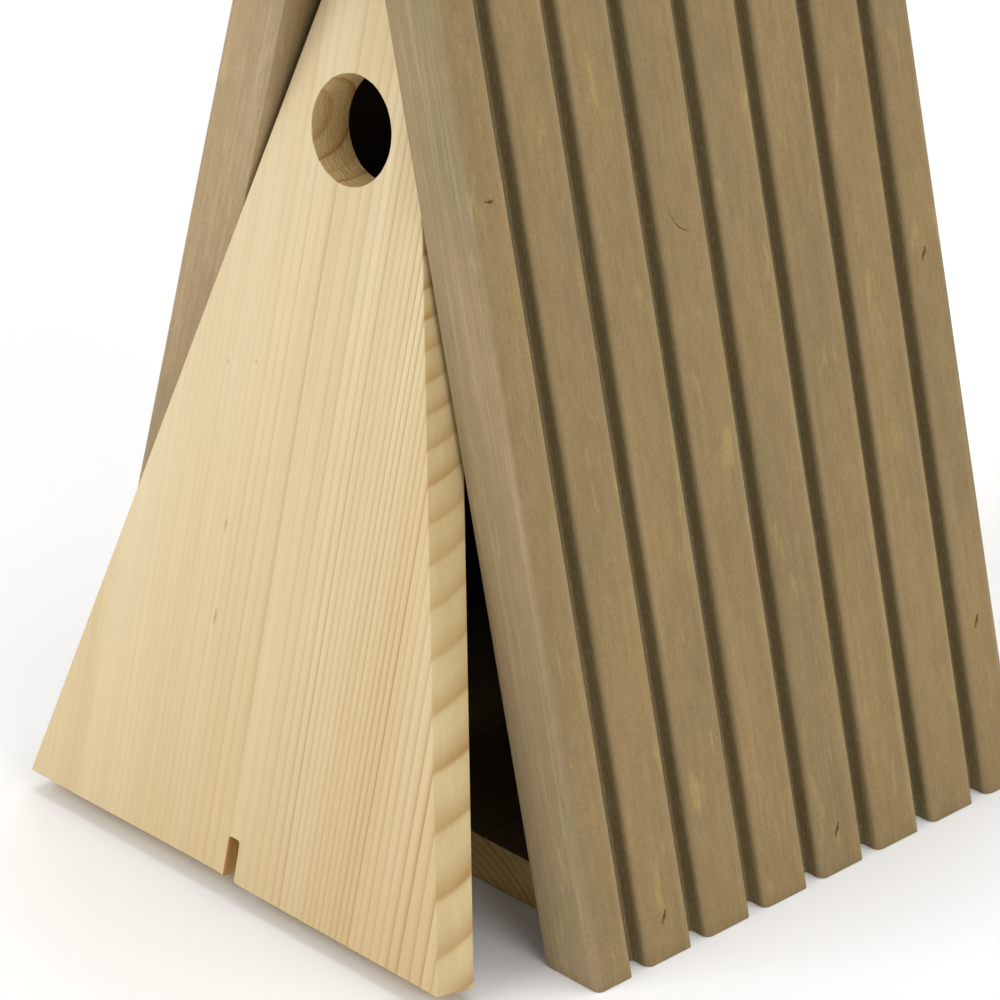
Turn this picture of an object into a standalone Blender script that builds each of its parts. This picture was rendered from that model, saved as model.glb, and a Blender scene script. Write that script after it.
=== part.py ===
"""A-frame insect hotel: grooved roof boards, a back panel, a floor and a front panel that tilts open.

Run it with: blender --background --python part.py
Metres, +Z up. -Y is the front, X runs across it, and z = 0 is the surface that the hotel stands on.
The origin is the middle of the footprint. The front panel is drawn part open, at its rest angle.
"""
import math

import bmesh
import bpy
from mathutils import Vector

# Roof: two equal boards lean together and meet in a mitre at x = 0.
ROOF_LEAN = math.radians(14.3)      # each board from the vertical
INNER_APEX_Z = 0.352                # where the two inner faces meet
RIDGE_TOP_Z = 0.420                 # the mitre's thin tip is trimmed level here
BOARD_THICK = 0.021
EDGE_RIB = 0.014                    # the first and the last rib
INNER_RIB = 0.018                   # the ribs between them
RIB_COUNT = 8
GROOVE_WIDTH = 0.0065
GROOVE_DEPTH = 0.0065
RIB_ROUND = 0.002                   # radius of a rib's outer arrises
RIB_ROUND_STEPS = 3
DEPTH = 2 * EDGE_RIB + (RIB_COUNT - 2) * INNER_RIB + (RIB_COUNT - 1) * GROOVE_WIDTH
FRONT_Y = -DEPTH / 2
REAR_Y = DEPTH / 2

# Panels and floor, all cut from one board thickness.
PANEL_THICK = 0.015
BACK_TOP_Z = 0.336                  # the back panel's blunt tip
EASE = 0.0006                       # eased edges
GAP = 0.0003                        # between pieces that touch
BACK_RECESS = 0.0035                # leaves room for the hanger plate

# Front panel: it turns about two nails, bottom forwards.
PIVOT_Y = FRONT_Y + 0.0076
PIVOT_Z = 0.2275
PIVOT_SETBACK = 0.0033              # from the panel's front face to the nails
REST_TILT = math.radians(12.0)      # how far open the panel stands
PANEL_TIP_Z = 0.330                 # its blunt tip when closed
PANEL_TAPER = math.radians(14.7)    # a little more than the roof's lean, for clearance at the nails
PANEL_SIDE_CLEARANCE = 0.0005       # along X at the foot, each side
PANEL_FOOT_CLEARANCE = 0.001        # under the closed panel
HOLE_RADIUS = 0.016
HOLE_ABOVE_PIVOT = 0.0043
SLOT_WIDTH = 0.0047
SLOT_HEIGHT = 0.0135
SLOT_CORNER = 0.0012                # radius of the corners at the slot's top

# Floor
FLOOR_FRONT_Y = PIVOT_Y - PIVOT_SETBACK + PANEL_THICK + 0.0005
BACK_FRONT_Y = REAR_Y - BACK_RECESS - PANEL_THICK

# Turn hook: bent wire in the floor's front edge, which passes through the panel's slot.
HOOK_RADIUS = 0.001
HOOK_Z = 0.006
HOOK_BEND = 0.0025                  # radius of the bend's centre line
HOOK_ARM_Y = FRONT_Y + 0.0022
HOOK_TIP_Z = 0.0009
HOOK_IN_FLOOR = 0.016

# Brads hold the boards; two longer ones, level and in line, are the panel's pivots.
SHANK_RADIUS = 0.001
HEAD_RADIUS = 0.0016
HEAD_THICK = 0.001
HEAD_SET = 0.0007                   # heads sit below the surface
TIP_LENGTH = 0.0025
BRAD_LENGTH = 0.040
PIVOT_LENGTH = 0.034                # ends short of the entrance hole
RIDGE_BRAD_LENGTH = 0.015
FLOOR_BRAD_RIBS = (2, 5)
FLOOR_BRAD_Z = 0.0125               # on the outer face
BACK_BRAD_HEIGHTS = (0.053, 0.1655, 0.250)
BACK_BRAD_SETBACK = 0.0045          # from the back panel's rear face
RIDGE_BRAD_RIBS = (2, 5, 7)
RIDGE_BRAD_Z = 0.392

# Hanger plate on the back panel
PLATE_WIDTH = 0.016
PLATE_HEIGHT = 0.052
PLATE_THICK = 0.0012
PLATE_Z = 0.268                     # its middle
KEYHOLE_RADIUS = 0.0042
KEYHOLE_SLOT = 0.0022               # half the width of its narrow part
KEYHOLE_RISE = 0.011
SCREW_OFFSET = 0.020                # from the plate's middle
SCREW_RADIUS = 0.0014
SCREW_HEAD_RADIUS = 0.003
SCREW_HEAD_THICK = 0.0014
SCREW_LENGTH = 0.0125

ROUND_SIDES = 16
CORNER_SIDES = 4
HOLE_SIDES = 64
PAST = 0.002                        # how far a cutter runs past a face

PINE = ("pine", (0.76, 0.60, 0.36), 0.60, 0.0)
STAINED = ("stained_wood", (0.30, 0.23, 0.14), 0.80, 0.0)
STEEL = ("steel", (0.45, 0.44, 0.42), 0.35, 1.0)
ZINC = ("zinc_plate", (0.62, 0.63, 0.65), 0.40, 1.0)


def clear_scene():
    for old in list(bpy.data.objects):
        bpy.data.objects.remove(old)


def material(name, colour, roughness, metallic):
    """Each object has its own material, named after it."""
    made = bpy.data.materials.new(name)
    made.use_nodes = True
    shader = made.node_tree.nodes["Principled BSDF"]
    shader.inputs["Base Color"].default_value = (*colour, 1.0)
    shader.inputs["Roughness"].default_value = roughness
    shader.inputs["Metallic"].default_value = metallic
    return made


def add_object(name, data, finish, parent=None):
    obj = bpy.data.objects.new(name, data)
    bpy.context.collection.objects.link(obj)
    obj.parent = parent
    data.materials.append(material(f"{name}_{finish[0]}", *finish[1:]))
    return obj


def mesh_from(bm, name, smooth=False):
    bmesh.ops.recalc_face_normals(bm, faces=bm.faces)
    mesh = bpy.data.meshes.new(name)
    bm.to_mesh(mesh)
    bm.free()
    if smooth:
        mesh.shade_smooth()
        mesh.set_sharp_from_angle(angle=math.radians(40))
    return mesh


def loft(rings):
    """A closed solid between two outlines with the same number of points."""
    bm = bmesh.new()
    first, last = [[bm.verts.new(point) for point in ring] for ring in rings]
    count = len(first)
    bm.faces.new(first)
    bm.faces.new(reversed(last))
    for i in range(count):
        j = (i + 1) % count
        bm.faces.new((first[j], first[i], last[i], last[j]))
    return bm


def extrude_outline(outline, y_low, y_high):
    """A plate: an outline in X and Z, between two places along Y."""
    return loft([[(x, y, z) for x, z in outline] for y in (y_low, y_high)])


def turned(profile, sides=ROUND_SIDES):
    """A solid of revolution about Z, from (distance, radius) pairs that start and end on the axis."""
    bm = bmesh.new()
    line = [bm.verts.new((radius, 0, distance)) for distance, radius in profile]
    edges = [bm.edges.new(pair) for pair in zip(line, line[1:])]
    bmesh.ops.spin(bm, geom=line + edges, cent=(0, 0, 0), axis=(0, 0, 1),
                   angle=2 * math.pi, steps=sides, use_duplicate=False)
    bmesh.ops.remove_doubles(bm, verts=bm.verts, dist=1e-6)
    return bm


def aim(obj, at, direction):
    """Put a turned object's axis on a line."""
    obj.location = at
    obj.rotation_mode = "QUATERNION"
    obj.rotation_quaternion = Vector((0, 0, 1)).rotation_difference(Vector(direction))


def cutter(name, bm, parent=None):
    obj = bpy.data.objects.new(name, mesh_from(bm, name))
    bpy.context.collection.objects.link(obj)
    obj.parent = parent
    obj.hide_render = True
    obj.display_type = "WIRE"
    return obj


def cut(target, tool):
    change = target.modifiers.new(tool.name, "BOOLEAN")
    change.operation = "DIFFERENCE"
    change.solver = "EXACT"
    change.object = tool


def inner_half_width(z):
    return (INNER_APEX_Z - z) * math.tan(ROOF_LEAN)


def outer_half_width(z):
    return inner_half_width(z) + BOARD_THICK / math.cos(ROOF_LEAN)


def rib_spans():
    """Each rib's start and end, from the front edge of the roof."""
    spans = []
    start = 0.0
    for index in range(RIB_COUNT):
        width = EDGE_RIB if index in (0, RIB_COUNT - 1) else INNER_RIB
        spans.append((start, start + width))
        start += width + GROOVE_WIDTH
    return spans


def rib_centre_y(number):
    start, end = rib_spans()[number - 1]
    return FRONT_Y + (start + end) / 2


def rounded_corner(centre_y, centre_w, start_angle):
    """A quarter circle, as (y, thickness) points that go from start_angle down by 90 degrees."""
    points = []
    for step in range(RIB_ROUND_STEPS + 1):
        angle = start_angle - math.radians(90) * step / RIB_ROUND_STEPS
        points.append((centre_y + RIB_ROUND * math.cos(angle), centre_w + RIB_ROUND * math.sin(angle)))
    return points


def board_profile():
    """The roof board's section: y from its front edge, and height above its flat inner face."""
    points = [(0.0, 0.0)]
    for index, (start, end) in enumerate(rib_spans()):
        if index > 0:
            points.append((start, BOARD_THICK - GROOVE_DEPTH))
        shoulder = BOARD_THICK - RIB_ROUND
        points += rounded_corner(start + RIB_ROUND, shoulder, math.radians(180))
        points += rounded_corner(end - RIB_ROUND, shoulder, math.radians(90))
        if index < RIB_COUNT - 1:
            points.append((end, BOARD_THICK - GROOVE_DEPTH))
    points.append((DEPTH, 0.0))
    return points


def roof_board(name, side):
    """side is 1 for the board at +X. Both ends are cut by slope: level at the foot, upright at the ridge."""
    lean_sin = math.sin(ROOF_LEAN)
    lean_cos = math.cos(ROOF_LEAN)
    foot_x = inner_half_width(0.0)
    foot_ring = []
    ridge_ring = []
    for y, height in board_profile():
        foot = -height * math.tan(ROOF_LEAN)
        ridge = (foot_x + height * lean_cos - GAP / 2) / lean_sin
        foot_ring.append((side * height, y, foot))
        ridge_ring.append((side * height, y, ridge))
    board = add_object(name, mesh_from(loft([foot_ring, ridge_ring]), name, smooth=True), STAINED)
    board.location = (side * foot_x, FRONT_Y, 0.0)
    board.rotation_euler = (0.0, -side * ROOF_LEAN, 0.0)
    return board


def ridge_trim():
    """A block over the ridge that takes the thin tip off both boards."""
    reach = 2 * BOARD_THICK
    low, high = RIDGE_TOP_Z, RIDGE_TOP_Z + reach
    outline = [(-reach, low), (reach, low), (reach, high), (-reach, high)]
    return cutter("ridge_trim", extrude_outline(outline, FRONT_Y - PAST, REAR_Y + PAST))


def fitted_outline(z_low, z_high, clearance, taper=ROOF_LEAN):
    """Four corners of a piece that fits between the roof boards, with its clearance at the foot."""
    low = inner_half_width(z_low) - clearance
    high = low - (z_high - z_low) * math.tan(taper)
    return [(-low, z_low), (low, z_low), (high, z_high), (-high, z_high)]


def eased_plate(name, outline, y_low, y_high, parent=None):
    bm = extrude_outline(outline, y_low, y_high)
    bmesh.ops.recalc_face_normals(bm, faces=bm.faces)
    bmesh.ops.bevel(bm, geom=bm.edges[:], offset=EASE, segments=1, profile=0.5, affect="EDGES")
    return add_object(name, mesh_from(bm, name), PINE, parent)


def front_panel():
    """The panel's own frame has the pivot at its origin and is upright when closed."""
    pivot = bpy.data.objects.new("front_pivot", None)
    bpy.context.collection.objects.link(pivot)
    pivot.location = (0.0, PIVOT_Y, PIVOT_Z)
    pivot.rotation_euler = (-REST_TILT, 0.0, 0.0)
    outline = fitted_outline(PANEL_FOOT_CLEARANCE, PANEL_TIP_Z, PANEL_SIDE_CLEARANCE, PANEL_TAPER)
    outline = [(x, z - PIVOT_Z) for x, z in outline]
    face_y = -PIVOT_SETBACK
    back_y = face_y + PANEL_THICK
    panel = eased_plate("front_panel", outline, face_y, back_y, pivot)

    hole = [(HOLE_RADIUS * math.cos(angle), HOLE_ABOVE_PIVOT + HOLE_RADIUS * math.sin(angle))
            for angle in (2 * math.pi * i / HOLE_SIDES for i in range(HOLE_SIDES))]
    cut(panel, cutter("entrance_cutter", extrude_outline(hole, face_y - PAST, back_y + PAST), pivot))

    foot_z = PANEL_FOOT_CLEARANCE - PIVOT_Z
    corner_z = foot_z + SLOT_HEIGHT - SLOT_CORNER
    slot = [(-SLOT_WIDTH / 2, foot_z - PAST), (SLOT_WIDTH / 2, foot_z - PAST)]
    for corner_x, start in ((SLOT_WIDTH / 2 - SLOT_CORNER, 0.0), (SLOT_CORNER - SLOT_WIDTH / 2, math.pi / 2)):
        for i in range(CORNER_SIDES + 1):
            angle = start + math.pi / 2 * i / CORNER_SIDES
            slot.append((corner_x + SLOT_CORNER * math.cos(angle), corner_z + SLOT_CORNER * math.sin(angle)))
    cut(panel, cutter("slot_cutter", extrude_outline(slot, face_y - PAST, back_y + PAST), pivot))
    return panel


def back_panel():
    outline = fitted_outline(0.0, BACK_TOP_Z, GAP / math.cos(ROOF_LEAN))
    return eased_plate("back_panel", outline, BACK_FRONT_Y, BACK_FRONT_Y + PANEL_THICK)


def floor_board():
    outline = fitted_outline(0.0, PANEL_THICK, GAP / math.cos(ROOF_LEAN))
    return eased_plate("floor_board", outline, FLOOR_FRONT_Y, BACK_FRONT_Y - GAP)


def brad(name, at, direction, length, boards):
    """A headed nail, with a bore for it in each board that it goes through or into."""
    end = HEAD_SET + length
    profile = [(HEAD_SET, 0.0), (HEAD_SET, HEAD_RADIUS), (HEAD_SET + HEAD_THICK, HEAD_RADIUS),
               (HEAD_SET + HEAD_THICK, SHANK_RADIUS), (end - TIP_LENGTH, SHANK_RADIUS), (end, 0.0)]
    nail = add_object(name, mesh_from(turned(profile), name, smooth=True), STEEL)
    aim(nail, at, direction)
    seat = HEAD_SET + HEAD_THICK + GAP
    bore = [(-PAST, 0.0), (-PAST, HEAD_RADIUS + GAP), (seat, HEAD_RADIUS + GAP),
            (seat, SHANK_RADIUS + GAP), (end + GAP, SHANK_RADIUS + GAP), (end + GAP, 0.0)]
    tool = cutter(f"{name}_bore", turned(bore))
    aim(tool, at, direction)
    for board in boards:
        cut(board, tool)


def square_to_roof(side):
    """The direction of a nail driven square into the roof board on one side."""
    return (-side * math.cos(ROOF_LEAN), 0.0, -math.sin(ROOF_LEAN))


def turn_hook(floor):
    """One bent wire. Its shank is the joint's axis, and its arm hangs down, unlocked, at rest."""
    curve = bpy.data.curves.new("turn_hook", "CURVE")
    curve.dimensions = "3D"
    curve.bevel_depth = HOOK_RADIUS
    curve.bevel_resolution = 3
    curve.use_fill_caps = True
    bend_steps = 8
    bend_y = HOOK_ARM_Y + HOOK_BEND
    turns = [math.radians(90) * i / bend_steps for i in range(bend_steps + 1)]
    bend = [(bend_y - HOOK_BEND * math.sin(turn), -HOOK_BEND * (1 - math.cos(turn))) for turn in turns]
    route = [(FLOOR_FRONT_Y + HOOK_IN_FLOOR, 0.0)] + bend + [(HOOK_ARM_Y, HOOK_TIP_Z - HOOK_Z)]
    spline = curve.splines.new("POLY")
    spline.points.add(len(route) - 1)
    for point, (y, z) in zip(spline.points, route):
        point.co = (0.0, y - FLOOR_FRONT_Y, z, 1.0)
    hook = add_object("turn_hook", curve, STEEL)
    hook.location = (0.0, FLOOR_FRONT_Y, HOOK_Z)

    depth = HOOK_IN_FLOOR + GAP
    bore = [(-PAST, 0.0), (-PAST, HOOK_RADIUS + GAP), (depth, HOOK_RADIUS + GAP), (depth, 0.0)]
    tool = cutter("hook_bore", turned(bore))
    aim(tool, (0.0, FLOOR_FRONT_Y, HOOK_Z), (0, 1, 0))
    cut(floor, tool)


def plate_outline():
    """A strip with round ends."""
    radius = PLATE_WIDTH / 2
    centre = PLATE_HEIGHT / 2 - radius
    points = []
    for sign, start in ((1, 0.0), (-1, math.pi)):
        for step in range(ROUND_SIDES + 1):
            angle = start + math.pi * step / ROUND_SIDES
            points.append((radius * math.cos(angle), sign * centre + radius * math.sin(angle)))
    return points


def keyhole_outline():
    """A round opening with a narrow slot that rises out of it."""
    half_angle = math.asin(KEYHOLE_SLOT / KEYHOLE_RADIUS)
    start = math.radians(90) + half_angle
    sweep = 2 * math.pi - 2 * half_angle
    points = []
    for step in range(ROUND_SIDES + 1):
        angle = start + sweep * step / ROUND_SIDES
        points.append((KEYHOLE_RADIUS * math.cos(angle), KEYHOLE_RADIUS * math.sin(angle)))
    for step in range(ROUND_SIDES // 2 + 1):
        angle = math.pi * step / (ROUND_SIDES // 2)
        points.append((KEYHOLE_SLOT * math.cos(angle), KEYHOLE_RISE + KEYHOLE_SLOT * math.sin(angle)))
    return points


def hanger(back):
    """A keyhole plate and its two screws, flush within the back panel's recess."""
    face_y = BACK_FRONT_Y + PANEL_THICK
    plate_y = face_y + GAP
    bm = extrude_outline(plate_outline(), plate_y, plate_y + PLATE_THICK)
    plate = add_object("hanger_plate", mesh_from(bm, "hanger_plate", smooth=True), ZINC)
    plate.location = (0.0, 0.0, PLATE_Z)
    keyhole = extrude_outline(keyhole_outline(), plate_y - PAST, plate_y + PLATE_THICK + PAST)
    opening = cutter("keyhole_cutter", keyhole)
    opening.location = (0.0, 0.0, PLATE_Z)
    cut(plate, opening)

    under_head = SCREW_HEAD_THICK
    end = under_head + SCREW_LENGTH
    profile = [(0.0, 0.0), (0.0, SCREW_HEAD_RADIUS * 0.8), (under_head * 0.5, SCREW_HEAD_RADIUS),
               (under_head, SCREW_HEAD_RADIUS), (under_head, SCREW_RADIUS),
               (end - TIP_LENGTH, SCREW_RADIUS), (end, 0.0)]
    clear_radius = SCREW_RADIUS + GAP
    bore = [(under_head, 0.0), (under_head, clear_radius), (end + GAP, clear_radius), (end + GAP, 0.0)]
    head_y = plate_y + PLATE_THICK + GAP + SCREW_HEAD_THICK
    for name, offset in (("hanger_screw_top", SCREW_OFFSET), ("hanger_screw_bottom", -SCREW_OFFSET)):
        at = (0.0, head_y, PLATE_Z + offset)
        screw = add_object(name, mesh_from(turned(profile), name, smooth=True), ZINC)
        aim(screw, at, (0, -1, 0))
        tool = cutter(f"{name}_bore", turned(bore))
        aim(tool, at, (0, -1, 0))
        cut(plate, tool)
        cut(back, tool)


def build():
    clear_scene()
    roofs = {1: roof_board("roof_board_right", 1), -1: roof_board("roof_board_left", -1)}
    trim = ridge_trim()
    for roof in roofs.values():
        cut(roof, trim)
    front = front_panel()
    back = back_panel()
    floor = floor_board()
    turn_hook(floor)
    hanger(back)

    back_y = BACK_FRONT_Y + PANEL_THICK - BACK_BRAD_SETBACK
    for side, word in ((1, "right"), (-1, "left")):
        square = square_to_roof(side)
        roof = roofs[side]
        pivot = (side * outer_half_width(PIVOT_Z), PIVOT_Y, PIVOT_Z)
        brad(f"pivot_nail_{word}", pivot, (-side, 0, 0), PIVOT_LENGTH, [roof, front])
        for number, rib in enumerate(FLOOR_BRAD_RIBS, start=1):
            at = (side * outer_half_width(FLOOR_BRAD_Z), rib_centre_y(rib), FLOOR_BRAD_Z)
            brad(f"floor_brad_{word}_{number}", at, square, BRAD_LENGTH, [roof, floor])
        for number, height in enumerate(BACK_BRAD_HEIGHTS, start=1):
            at = (side * outer_half_width(height), back_y, height)
            brad(f"back_brad_{word}_{number}", at, square, BRAD_LENGTH, [roof, back])
    for number, rib in enumerate(RIDGE_BRAD_RIBS, start=1):
        at = (-outer_half_width(RIDGE_BRAD_Z), rib_centre_y(rib), RIDGE_BRAD_Z)
        brad(f"ridge_brad_{number}", at, (1, 0, 0), RIDGE_BRAD_LENGTH, [roofs[-1], roofs[1]])


build()
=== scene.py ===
"""Insect hotel: two grooved, stained roof boards in an A-frame, with a pale pine front that tips open."""
import math

import bmesh
import bpy
from mathutils import Euler, Matrix, Vector, noise


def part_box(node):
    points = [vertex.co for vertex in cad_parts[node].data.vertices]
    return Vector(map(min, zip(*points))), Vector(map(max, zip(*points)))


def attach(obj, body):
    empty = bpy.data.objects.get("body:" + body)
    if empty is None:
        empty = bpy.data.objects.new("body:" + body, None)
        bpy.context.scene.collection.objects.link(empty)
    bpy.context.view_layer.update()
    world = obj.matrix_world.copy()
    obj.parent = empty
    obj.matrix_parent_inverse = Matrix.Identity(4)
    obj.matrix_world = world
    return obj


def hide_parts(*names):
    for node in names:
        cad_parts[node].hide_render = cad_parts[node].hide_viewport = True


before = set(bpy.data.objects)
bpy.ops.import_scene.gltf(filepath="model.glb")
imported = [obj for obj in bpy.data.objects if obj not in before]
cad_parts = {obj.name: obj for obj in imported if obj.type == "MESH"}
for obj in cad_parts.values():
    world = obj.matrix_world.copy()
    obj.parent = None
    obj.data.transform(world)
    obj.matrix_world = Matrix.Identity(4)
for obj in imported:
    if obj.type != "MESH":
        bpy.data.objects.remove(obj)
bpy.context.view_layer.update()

# Sizes in metres, the CAD's unless a comment says otherwise
LEAN = math.radians(14.3)
LEAN_SIN, LEAN_COS, LEAN_TAN = math.sin(LEAN), math.cos(LEAN), math.tan(LEAN)
BOARD_THICK = 0.021
GROOVE_FLOOR = 0.0145
SHOULDER = 0.0183                    # a rib's sides are straight up to here
RIBS = ((0.0, 0.014), (0.0205, 0.0385), (0.045, 0.063), (0.0695, 0.0875), (0.094, 0.112),
        (0.1185, 0.1365), (0.143, 0.161), (0.1675, 0.1815))
DEPTH = RIBS[-1][1]
INNER_APEX_Z = 0.352
RIDGE_TOP_Z = 0.420
FOOT_X = INNER_APEX_Z * LEAN_TAN
MITRE_H = (RIDGE_TOP_Z - INNER_APEX_Z) * LEAN_SIN    # above this height the ridge is trimmed level
FRONT_Y = -0.09075
RIDGE_GAP = 0.00006                  # tighter than the CAD's, so that no light shows through the mitre
GAP = 0.0003                         # between other pieces that touch
PIVOT = Vector((0.0, -0.08315, 0.2275))
REST_TILT = math.radians(12.0)
PANEL_THICK = 0.015
PANEL_FOOT_Z = 0.001                 # of the closed panel
PANEL_TIP_Z = 0.330
PANEL_TAPER = math.radians(14.7)
PANEL_SIDE_CLEARANCE = 0.0005
HOLE_RADIUS = 0.016
HOLE_Z = 0.0043                      # above the pivot
PANEL_FACE = -0.0033                 # from the pivot, in the panel's own frame
SLOT_HALF = 0.00235
SLOT_HEIGHT = 0.0135
SLOT_CORNER = 0.0012                 # radius of the corners at the slot's top
PIVOT_BORE = 0.0013
NAIL_HEAD = 0.0016
WIRE_RADIUS = 0.001
WIRE_BEND = 0.0025
KEYHOLE_RADIUS = 0.0042
KEYHOLE_SLOT = 0.0022                # half the width of its narrow part
KEYHOLE_RISE = 0.011
SCREW_OFFSET = 0.020                 # from the plate's middle

ROUND = [math.tau * k / 32 for k in range(32)]


# ---------------------------------------------------------------- small helpers

def srgb(r, g, b):
    """A colour from 0-255 display values."""
    linear = [((c / 255 + 0.055) / 1.055) ** 2.4 if c > 10 else c / 255 / 12.92 for c in (r, g, b)]
    return (*linear, 1.0)


def smooth(low, high, x):
    t = min(1.0, max(0.0, (x - low) / (high - low)))
    return t * t * (3 - 2 * t)


def wave(seed, *place):
    """Smooth noise between about -1 and 1; place has up to three coordinates."""
    place = (list(place) + [0.0, 0.0])[:3]
    return noise.noise(Vector((place[0] + 17.3 * seed, place[1] - 9.1 * seed, place[2] + 4.7 * seed)))


def link(name, bm, smooth_shading=True):
    bmesh.ops.recalc_face_normals(bm, faces=bm.faces)
    mesh = bpy.data.meshes.new(name)
    bm.to_mesh(mesh)
    bm.free()
    mesh.polygons.foreach_set("use_smooth", [smooth_shading] * len(mesh.polygons))
    obj = bpy.data.objects.new(name, mesh)
    bpy.context.scene.collection.objects.link(obj)
    return obj


def sharpen(obj, degrees=32.0):
    """Split the shading where faces meet at a real edge."""
    mesh = obj.data
    bm = bmesh.new()
    bm.from_mesh(mesh)
    limit = math.radians(degrees)
    for edge in bm.edges:
        edge.smooth = len(edge.link_faces) == 2 and edge.calc_face_angle(math.pi) < limit
    bm.to_mesh(mesh)
    bm.free()


def tube(bm, rings):
    """Faces through closed rings of points, open at both ends; gives the rows of vertices."""
    rows = [[bm.verts.new(p) for p in ring] for ring in rings]
    for a, b in zip(rows, rows[1:]):
        for i in range(len(a)):
            j = (i + 1) % len(a)
            bm.faces.new((a[i], a[j], b[j], b[i]))
    return rows


def solid(bm, rings):
    """A tube with its ends closed; gives the two end faces."""
    rows = tube(bm, rings)
    return [bm.faces.new(rows[0][::-1]), bm.faces.new(rows[-1])]


def lofted(name, rings):
    """An object made of one solid, with its end faces cut into triangles."""
    bm = bmesh.new()
    bmesh.ops.triangulate(bm, faces=solid(bm, rings), ngon_method="EAR_CLIP")
    return link(name, bm)


def eased(radius, *degrees):
    """(depth, shrink) pairs that round an edge off."""
    turns = [math.radians(a) for a in degrees]
    return [(radius * (1 - math.cos(t)), radius * (1 - math.sin(t))) for t in turns]


def subtract(obj, tool):
    """Cut one object out of another and remove the tool."""
    cut = obj.modifiers.new("cut", "BOOLEAN")
    cut.operation, cut.solver, cut.object = "DIFFERENCE", "EXACT", tool
    dg = bpy.context.evaluated_depsgraph_get()
    mesh = bpy.data.meshes.new_from_object(obj.evaluated_get(dg))
    obj.modifiers.clear()
    tidy = bmesh.new()
    tidy.from_mesh(mesh)
    bmesh.ops.remove_doubles(tidy, verts=tidy.verts, dist=2e-6)
    bmesh.ops.dissolve_degenerate(tidy, edges=tidy.edges, dist=1e-6)
    tidy.to_mesh(mesh)
    tidy.free()
    old = obj.data
    obj.data = mesh
    mesh.name = obj.name
    bpy.data.meshes.remove(old)
    bpy.data.objects.remove(tool)


def carve(obj, tool):
    """Cut out a tool that was made in the piece's own frame."""
    tool.matrix_world = obj.matrix_world
    bpy.context.view_layer.update()
    subtract(obj, tool)


def finish_piece(obj, body, node):
    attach(obj, body)
    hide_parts(node)


# ---------------------------------------------------------------- shader helpers

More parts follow.
